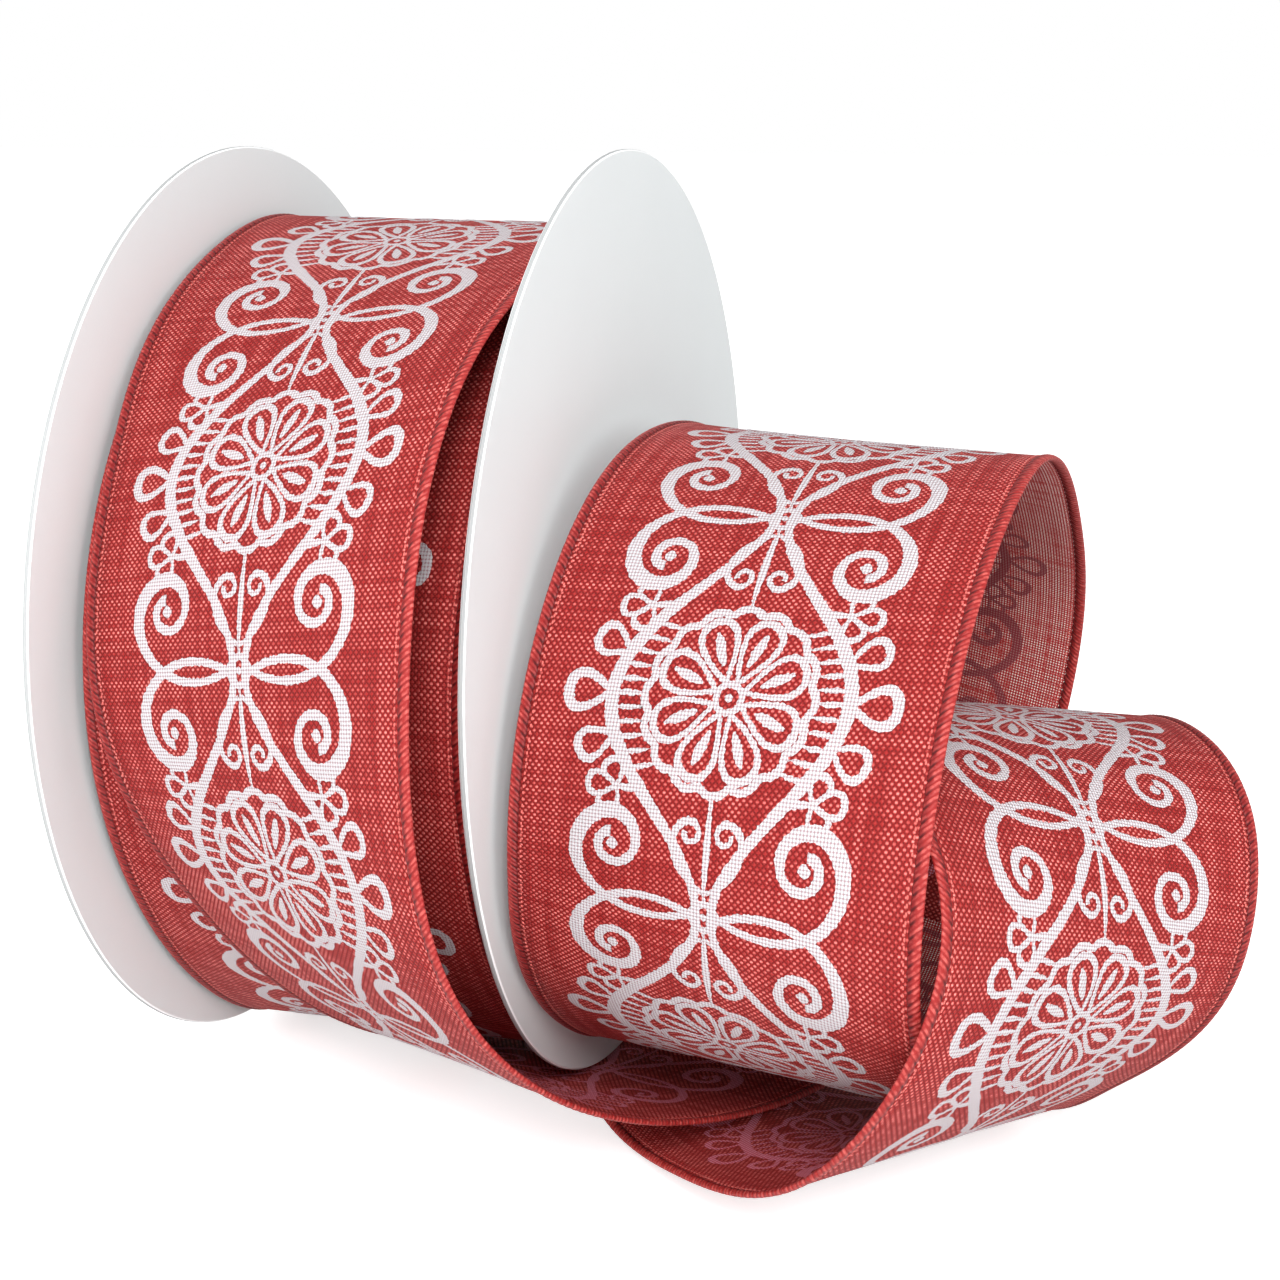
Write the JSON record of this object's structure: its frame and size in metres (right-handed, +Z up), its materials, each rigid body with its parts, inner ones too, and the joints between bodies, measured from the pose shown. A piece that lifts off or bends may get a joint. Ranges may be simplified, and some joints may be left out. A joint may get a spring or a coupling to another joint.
{
  "type": "ribbon spool",
  "caption": "Wide wired-edge fabric ribbon on a flat-flanged paperboard spool, its loose end standing in two coils beside it.",
  "frame": {"origin": "middle of the spool's axis, half way between the flanges", "axes": "+X along the spool's axis towards the flange beside the coils, +Z up, -Y towards the front of the coils"},
  "size_m": [0.1713, 0.1663, 0.1535],
  "materials": {
    "flange_board": "matte",
    "core_board": "matte",
    "ribbon_cloth": "woven",
    "ribbon_hem": "satin",
    "edge_wire": "satin"
  },
  "bodies": {
    "loose_ribbon": {"inner_turn": "ribbon_cloth", "outer_turn": "ribbon_cloth", "run_under_flange": "ribbon_cloth", "large_coil": "ribbon_cloth", "small_coil": "ribbon_cloth", "ribbon_tail": "ribbon_cloth", "edge_wire_left": "edge_wire", "edge_wire_right": "edge_wire"},
    "spool": {"flange_left": "flange_board", "flange_right": "flange_board", "core_tube": "core_board", "wound_cloth": "ribbon_cloth", "wound_hem_left": "ribbon_hem", "wound_hem_right": "ribbon_hem"}
  },
  "joints": [
    {"name": "spool_turn", "type": "hinge", "parent": "loose_ribbon", "child": "spool", "pos_m": [0, 0, 0], "axis": [1, 0, 0], "continuous": true}
  ]
}
